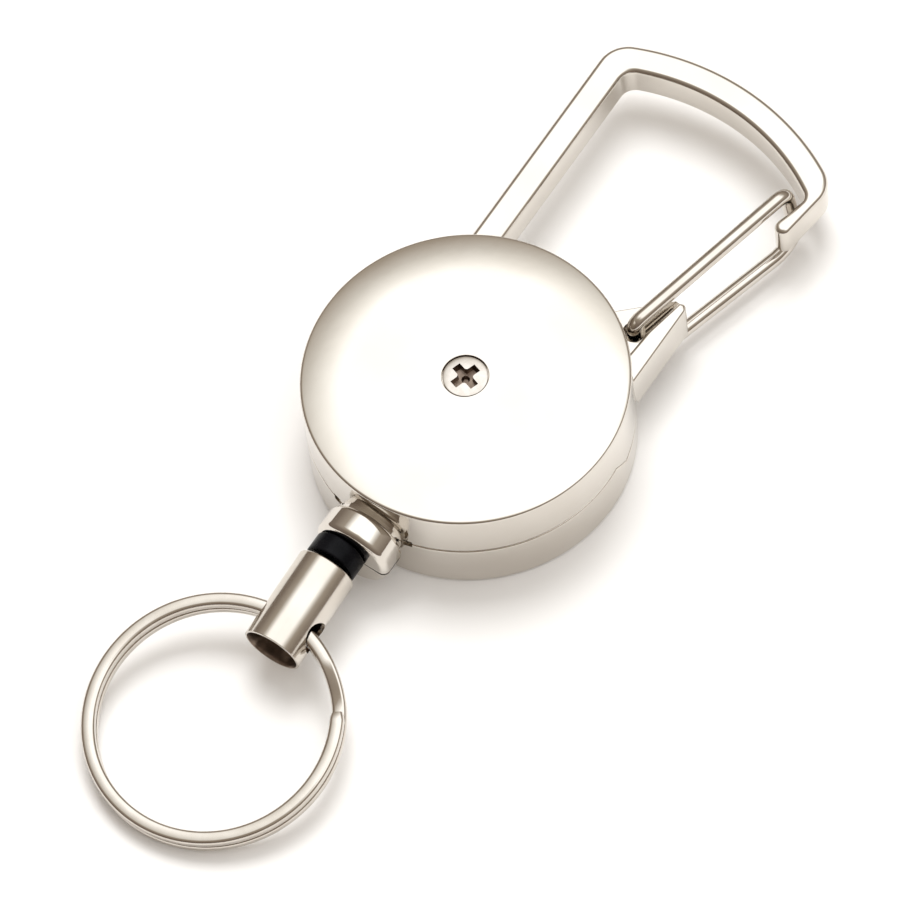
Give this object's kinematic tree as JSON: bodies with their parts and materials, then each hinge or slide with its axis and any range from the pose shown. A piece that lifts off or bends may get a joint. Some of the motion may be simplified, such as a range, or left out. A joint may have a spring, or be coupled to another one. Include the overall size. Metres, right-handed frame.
{
  "type": "retractable badge reel",
  "caption": "Round metal retractable reel with a cast carabiner and wire gate, a sprung wire cord, a rubber stopper, a swivelling end sleeve and a split ring.",
  "frame": {"origin": "centre of the case's flat back face", "axes": "+Z out through the front face, +Y towards the carabiner; the cord leaves towards -Y and the gate is on the +X side"},
  "size_m": [0.0335, 0.0966, 0.012],
  "materials": {
    "case_nickel": "polished nickel plate on a zinc casting",
    "screw_steel": "nickel-plated steel",
    "slide_plastic": "natural acetal",
    "spool_plastic": "dark moulded acetal",
    "spring_steel": "blued spring strip",
    "cord_wire": "stranded steel wire rope",
    "crimp_metal": "pressed copper alloy",
    "stopper_rubber": "satin black rubber",
    "sleeve_nickel": "polished nickel plate on a drawn tube",
    "ring_nickel": "polished nickel plate on spring steel",
    "gate_nickel": "polished nickel plate on spring wire"
  },
  "bodies": {
    "case": {"front_case": "case_nickel", "rear_case": "case_nickel", "case_screw": "screw_steel", "exit_bush": "slide_plastic", "spool_washer": "slide_plastic", "power_spring": "spring_steel", "cord_lead": "cord_wire"},
    "reel": {"spool": "spool_plastic", "spring_cover": "spring_steel", "cord_winding": "cord_wire", "cord_anchor": "crimp_metal"},
    "cord_end": {"stopper": "stopper_rubber", "cord_tail": "cord_wire", "cord_ferrule": "crimp_metal"},
    "swivel": {"end_sleeve": "sleeve_nickel"},
    "ring": {"split_ring": "ring_nickel"},
    "gate": {"gate_wire": "gate_nickel"}
  },
  "joints": [
    {"name": "cord_pull", "type": "slide", "parent": "case", "child": "cord_end", "axis": [0, -1, 0], "range_m": [0, 0.6], "stiffness_N_per_m": 1, "springref_m": -0.8},
    {"name": "spool_spin", "type": "hinge", "parent": "case", "child": "reel", "pos_m": [0, 0, 0.006], "axis": [0, 0, 1], "range_deg": [0, 3400]},
    {"name": "sleeve_swivel", "type": "hinge", "parent": "cord_end", "child": "swivel", "pos_m": [-0.002, -0.02207, 0.006], "axis": [0, -0.9962, -0.0872], "continuous": true},
    {"name": "ring_swing", "type": "hinge", "parent": "swivel", "child": "ring", "pos_m": [-0.002, -0.02879, 0.00541], "axis": [1, 0, 0], "range_deg": [-120, 100]},
    {"name": "gate_swing", "type": "hinge", "parent": "case", "child": "gate", "pos_m": [0.01002, 0.01447, 0.006], "axis": [0, 0, 1], "range_deg": [0, 25], "stiffness_Nm_per_rad": 0.02, "springref_deg": -17.19}
  ],
  "couplings": [
    {"joint": "spool_spin", "follows": "cord_pull", "rad_per_m": 98}
  ]
}
